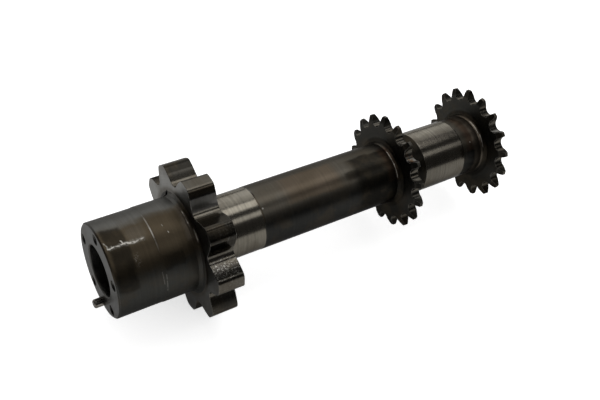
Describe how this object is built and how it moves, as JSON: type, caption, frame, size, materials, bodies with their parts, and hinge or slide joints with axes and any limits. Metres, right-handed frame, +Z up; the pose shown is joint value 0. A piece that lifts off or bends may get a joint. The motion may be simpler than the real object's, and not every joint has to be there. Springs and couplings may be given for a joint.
{
  "type": "oil pump shaft",
  "caption": "One-piece steel oil pump shaft: bored and tapped hub with a dowel, a coarse stub-toothed drive, ground journals and two roller-chain wheels.",
  "frame": {"origin": "on the shaft's axis, in the plane of the hub's end face", "axes": "+X along the axis from the hub to the plain end, +Z up with one tooth of the drive and of both wheels on top, +Y to the left seen from the hub"},
  "size_m": [0.2095, 0.0686, 0.0678],
  "materials": {
    "pump_shaft": "turned and ground, with a thin oil film",
    "dowel_pin": "ground"
  },
  "bodies": {
    "root": {"pump_shaft": "pump_shaft", "dowel_pin": "dowel_pin"}
  },
  "joints": []
}
